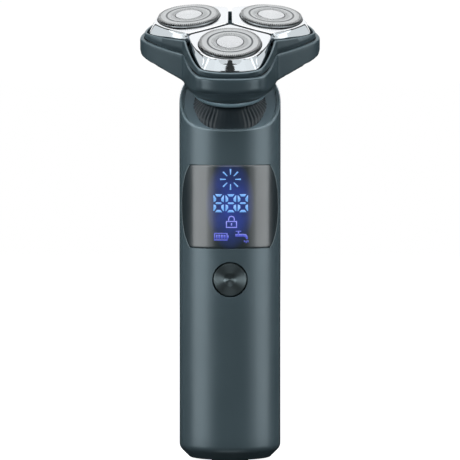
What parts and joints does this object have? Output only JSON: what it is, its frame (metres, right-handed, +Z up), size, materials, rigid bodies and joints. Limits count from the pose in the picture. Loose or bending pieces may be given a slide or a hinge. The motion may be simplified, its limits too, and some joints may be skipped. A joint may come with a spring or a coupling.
{
  "type": "rotary electric shaver",
  "caption": "Cordless rotary electric shaver: cylindrical handle with a display window and power button, and a tilted lobed shaving head on a gimballed neck.",
  "frame": {"origin": "centre of the resting face under the foot pad, on the handle's axis", "axes": "+Z up along the handle, -Y towards the display side, +X to the right seen from the front"},
  "size_m": [0.0616, 0.0536, 0.1547],
  "materials": {
    "shell_paint": "satin dark blue-grey metallic paint",
    "smoked_lens": "polished smoked window",
    "light_mask": "matt black film with clear symbols",
    "dark_plastic": "fine moulded grain",
    "black_plastic": "matt",
    "head_paint": "satin dark blue-grey",
    "rubber": "matt",
    "chrome": "polished",
    "foil_steel": "fine ground",
    "steel": "machined",
    "spun_metal": "concentric spun grooves",
    "white_plastic": "moulded",
    "board": "solder mask",
    "battery_wrap": "shrink wrap",
    "motor_steel": "zinc plated",
    "copper": "lacquered winding"
  },
  "bodies": {
    "handle": {"handle_shell": "shell_paint", "bottom_cap": "dark_plastic", "foot_pad": "rubber", "charging_socket": "steel", "charge_board": "board", "chassis": "white_plastic", "battery_cell": "battery_wrap", "main_board": "board", "power_switch": "black_plastic", "display_board": "board", "light_mask": "light_mask", "display_lens": "smoked_lens", "motor_can": "motor_steel", "motor_mount": "dark_plastic", "motor_screws": "steel", "top_cover": "dark_plastic", "neck_yoke": "black_plastic", "pitch_pins": "steel", "button_spring": "steel"},
    "button": {"power_button": "spun_metal"},
    "port_flap": {"port_cover": "rubber"},
    "rotor": {"motor_rotor": "copper"},
    "gimbal": {"gimbal_ring": "dark_plastic", "roll_pins": "steel"},
    "head": {"chamber_body": "head_paint", "neck_collar": "head_paint", "neck_stem": "black_plastic", "gear_base": "white_plastic", "gear_cover": "dark_plastic", "cover_screws": "steel", "chamber_seal": "rubber"},
    "drive": {"centre_gear": "white_plastic", "drive_shaft": "steel"},
    "spindle_1": {"spindle_gear_1": "white_plastic", "spindle_spring_1": "steel"},
    "spindle_2": {"spindle_gear_2": "white_plastic", "spindle_spring_2": "steel"},
    "spindle_3": {"spindle_gear_3": "white_plastic", "spindle_spring_3": "steel"},
    "tip_1": {"spindle_tip_1": "white_plastic"},
    "tip_2": {"spindle_tip_2": "white_plastic"},
    "tip_3": {"spindle_tip_3": "white_plastic"},
    "blade_frame": {"upper_frame": "head_paint", "lobe_pins": "steel"},
    "lobe_1": {"lobe_frame_1": "chrome", "foil_cap_1": "foil_steel", "foil_centre_1": "foil_steel", "retaining_ring_1": "black_plastic"},
    "lobe_2": {"lobe_frame_2": "chrome", "foil_cap_2": "foil_steel", "foil_centre_2": "foil_steel", "retaining_ring_2": "black_plastic"},
    "lobe_3": {"lobe_frame_3": "chrome", "foil_cap_3": "foil_steel", "foil_centre_3": "foil_steel", "retaining_ring_3": "black_plastic"},
    "blades_1": {"cutter_1": "steel"},
    "blades_2": {"cutter_2": "steel"},
    "blades_3": {"cutter_3": "steel"}
  },
  "joints": [
    {"name": "button_press", "type": "slide", "parent": "handle", "child": "button", "axis": [0, 1, 0], "range_m": [0, 0.0006], "stiffness_N_per_m": 300, "springref_m": -0.002, "deforming": ["button_spring"]},
    {"name": "port_flap_open", "type": "hinge", "parent": "handle", "child": "port_flap", "pos_m": [0, 0.0096, 0.0005], "axis": [1, 0, 0], "range_deg": [0, 90]},
    {"name": "motor_spin", "type": "hinge", "parent": "handle", "child": "rotor", "pos_m": [0, 0.00072, 0.09], "axis": [0, 0, 1], "continuous": true},
    {"name": "neck_pitch", "type": "hinge", "parent": "handle", "child": "gimbal", "pos_m": [0, 0.00072, 0.12224], "axis": [1, 0, 0], "range_deg": [-3.5, 3.5], "stiffness_Nm_per_rad": 2},
    {"name": "neck_roll", "type": "hinge", "parent": "gimbal", "child": "head", "pos_m": [0, 0.00072, 0.12224], "axis": [0, 0.9317, 0.3633], "range_deg": [-3.5, 3.5], "stiffness_Nm_per_rad": 2},
    {"name": "drive_spin", "type": "hinge", "parent": "head", "child": "drive", "pos_m": [0, 0.00072, 0.12224], "axis": [0, -0.3633, 0.9317], "continuous": true},
    {"name": "spindle_1_spin", "type": "hinge", "parent": "head", "child": "spindle_1", "pos_m": [0, -0.02001, 0.13176], "axis": [0, -0.3633, 0.9317], "continuous": true},
    {"name": "spindle_2_spin", "type": "hinge", "parent": "head", "child": "spindle_2", "pos_m": [0.01373, 0.00214, 0.1404], "axis": [0, -0.3633, 0.9317], "continuous": true},
    {"name": "spindle_3_spin", "type": "hinge", "parent": "head", "child": "spindle_3", "pos_m": [-0.01373, 0.00214, 0.1404], "axis": [0, -0.3633, 0.9317], "continuous": true},
    {"name": "tip_1_float", "type": "slide", "parent": "spindle_1", "child": "tip_1", "axis": [0, 0.3633, -0.9317], "range_m": [0, 0.0008], "stiffness_N_per_m": 200, "springref_m": -0.002, "deforming": ["spindle_spring_1"]},
    {"name": "tip_2_float", "type": "slide", "parent": "spindle_2", "child": "tip_2", "axis": [0, 0.3633, -0.9317], "range_m": [0, 0.0008], "stiffness_N_per_m": 200, "springref_m": -0.002, "deforming": ["spindle_spring_2"]},
    {"name": "tip_3_float", "type": "slide", "parent": "spindle_3", "child": "tip_3", "axis": [0, 0.3633, -0.9317], "range_m": [0, 0.0008], "stiffness_N_per_m": 200, "springref_m": -0.002, "deforming": ["spindle_spring_3"]},
    {"name": "frame_lift", "type": "slide", "parent": "head", "child": "blade_frame", "axis": [0, -0.3633, 0.9317], "range_m": [0, 0.012]},
    {"name": "lobe_1_float", "type": "hinge", "parent": "blade_frame", "child": "lobe_1", "pos_m": [0, -0.01222, 0.14406], "axis": [1, 0, 0], "range_deg": [-2.5, 2.5], "stiffness_Nm_per_rad": 0.2},
    {"name": "lobe_2_float", "type": "hinge", "parent": "blade_frame", "child": "lobe_2", "pos_m": [0.00357, -0.00645, 0.14631], "axis": [-0.5, 0.8069, 0.3146], "range_deg": [-2.5, 2.5], "stiffness_Nm_per_rad": 0.2},
    {"name": "lobe_3_float", "type": "hinge", "parent": "blade_frame", "child": "lobe_3", "pos_m": [-0.00357, -0.00645, 0.14631], "axis": [-0.5, -0.8069, -0.3146], "range_deg": [-2.5, 2.5], "stiffness_Nm_per_rad": 0.2},
    {"name": "cutter_1_spin", "type": "hinge", "parent": "lobe_1", "child": "blades_1", "pos_m": [0, -0.02363, 0.14065], "axis": [0, -0.4431, 0.8965], "continuous": true},
    {"name": "cutter_2_spin", "type": "hinge", "parent": "lobe_2", "child": "blades_2", "pos_m": [0.01386, -0.00127, 0.14937], "axis": [0.0755, -0.3213, 0.944], "continuous": true},
    {"name": "cutter_3_spin", "type": "hinge", "parent": "lobe_3", "child": "blades_3", "pos_m": [-0.01386, -0.00127, 0.14937], "axis": [-0.0755, -0.3213, 0.944], "continuous": true}
  ],
  "couplings": [
    {"joint": "drive_spin", "follows": "motor_spin", "ratio": 1},
    {"joint": "spindle_1_spin", "follows": "motor_spin", "ratio": -0.5},
    {"joint": "spindle_2_spin", "follows": "motor_spin", "ratio": -0.5},
    {"joint": "spindle_3_spin", "follows": "motor_spin", "ratio": -0.5},
    {"joint": "cutter_1_spin", "follows": "motor_spin", "ratio": -0.5},
    {"joint": "cutter_2_spin", "follows": "motor_spin", "ratio": -0.5},
    {"joint": "cutter_3_spin", "follows": "motor_spin", "ratio": -0.5}
  ]
}
